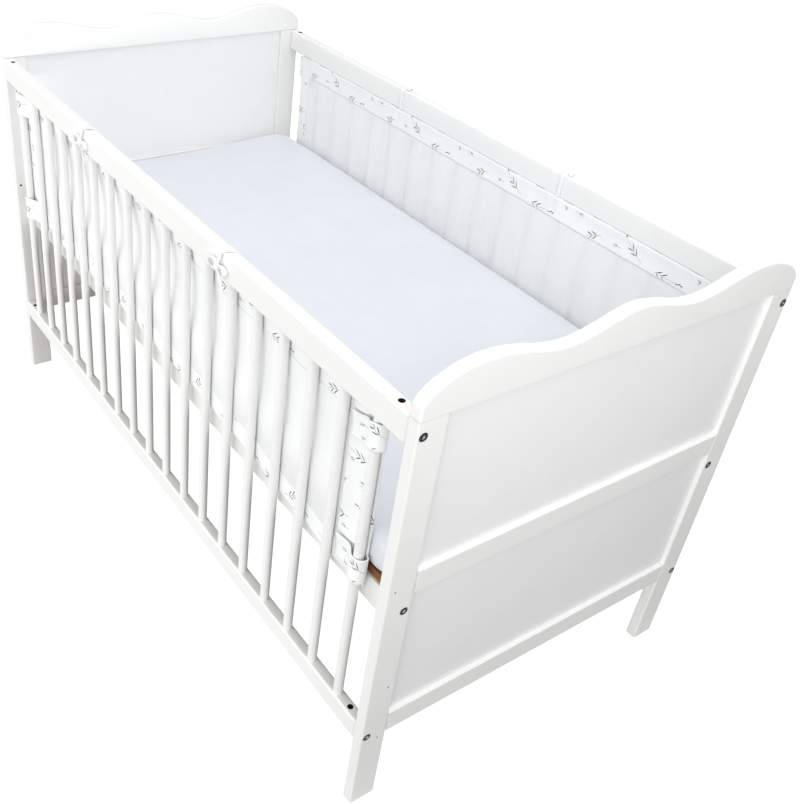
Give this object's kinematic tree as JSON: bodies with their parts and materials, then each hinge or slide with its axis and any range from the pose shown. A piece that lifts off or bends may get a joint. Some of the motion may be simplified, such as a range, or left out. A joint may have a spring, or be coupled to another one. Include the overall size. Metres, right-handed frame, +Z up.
{
  "type": "crib bumper on a slatted cot bed",
  "caption": "Breathable mesh crib bumper with printed cotton edges, tabs and ties, hung inside the slatted long sides of a white cot bed with mattress.",
  "frame": {"origin": "middle of the cot's footprint, on the floor", "axes": "+X along the cot's length, towards the end board that faces the viewer in the picture; -Y towards the near slatted side; +Z up"},
  "size_m": [1.447, 0.7708, 0.857],
  "materials": {
    "spacer_mesh": "white spacer mesh, matt",
    "printed_cotton": "white woven cotton with small leaf sprigs, matt",
    "white_tape": "white woven tape, matt",
    "mattress_cover": "white jersey cover, matt",
    "white_paint": "white satin paint",
    "raw_board": "raw brown board",
    "steel": "zinc plated bolt heads"
  },
  "bodies": {
    "root": {"band_left_far": "printed_cotton", "band_left_near": "printed_cotton", "band_right_far": "printed_cotton", "band_right_near": "printed_cotton", "bolt_base_left_far": "steel", "bolt_base_left_near": "steel", "bolt_base_right_far": "steel", "bolt_base_right_near": "steel", "bolt_low_left_far": "steel", "bolt_low_left_near": "steel", "bolt_low_right_far": "steel", "bolt_low_right_near": "steel", "bolt_top_left_far": "steel", "bolt_top_left_near": "steel", "bolt_top_right_far": "steel", "bolt_top_right_near": "steel", "border_low_far": "printed_cotton", "border_low_near": "printed_cotton", "border_top_far": "printed_cotton", "border_top_near": "printed_cotton", "end_board_left": "white_paint", "end_board_right": "white_paint", "end_panel_high_left": "white_paint", "end_panel_high_right": "white_paint", "end_panel_low_left": "white_paint", "end_panel_low_right": "white_paint", "end_rail_low_left": "white_paint", "end_rail_low_right": "white_paint", "end_rail_mid_left": "white_paint", "end_rail_mid_right": "white_paint", "mattress": "mattress_cover", "mattress_base_board_far": "white_paint", "mattress_base_board_near": "white_paint", "mattress_base_deck": "raw_board", "mesh_panel_far": "spacer_mesh", "mesh_panel_near": "spacer_mesh", "post_left_far": "white_paint", "post_left_near": "white_paint", "post_right_far": "white_paint", "post_right_near": "white_paint", "side_far": "white_paint", "side_near": "white_paint", "tab_low_left_far": "printed_cotton", "tab_low_left_near": "printed_cotton", "tab_low_right_far": "printed_cotton", "tab_low_right_near": "printed_cotton", "tab_top_left_far": "printed_cotton", "tab_top_left_near": "printed_cotton", "tab_top_right_far": "printed_cotton", "tab_top_right_near": "printed_cotton", "tie_left_far": "white_tape", "tie_left_near": "white_tape", "tie_right_far": "white_tape", "tie_right_near": "white_tape"}
  },
  "joints": []
}
